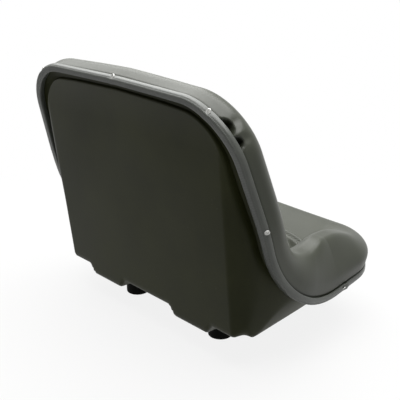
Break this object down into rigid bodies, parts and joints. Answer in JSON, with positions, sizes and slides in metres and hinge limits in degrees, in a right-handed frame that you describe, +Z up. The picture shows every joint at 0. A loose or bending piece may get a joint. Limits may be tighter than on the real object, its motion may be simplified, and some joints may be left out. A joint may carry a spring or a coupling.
{
  "type": "tractor seat",
  "caption": "Low-back garden tractor seat: dark painted steel pan, dark grey vinyl cushion with side bolsters, screwed plastic edge trim and rubber buffers under channel feet.",
  "frame": {"origin": "centre of the four tapped holes in the buffers, on the plane that the buffers stand on", "axes": "+Z up, -Y the way the sitter faces, +X to the sitter's left"},
  "size_m": [0.5114, 0.3797, 0.4076],
  "materials": {
    "pan_paint": "satin olive-black paint with a faint orange peel and light specks",
    "foam": "moulded foam, hidden under the cover",
    "vinyl": "dark grey vinyl with a fine grain and a soft satin sheen",
    "trim_plastic": "dark grey moulded plastic, finely ribbed on its rear face",
    "screw_steel": "bright plated steel",
    "plain_steel": "plain zinc-plated steel",
    "rubber": "black moulded rubber, dusty at its edges"
  },
  "bodies": {
    "root": {"seat_pan": "pan_paint", "foam_pad": "foam", "vinyl_cover": "vinyl", "edge_trim": "trim_plastic", "trim_screws": "screw_steel", "weld_nuts": "plain_steel", "buffer_studs": "plain_steel", "buffer_inserts": "plain_steel", "rubber_buffers": "rubber"}
  },
  "joints": []
}
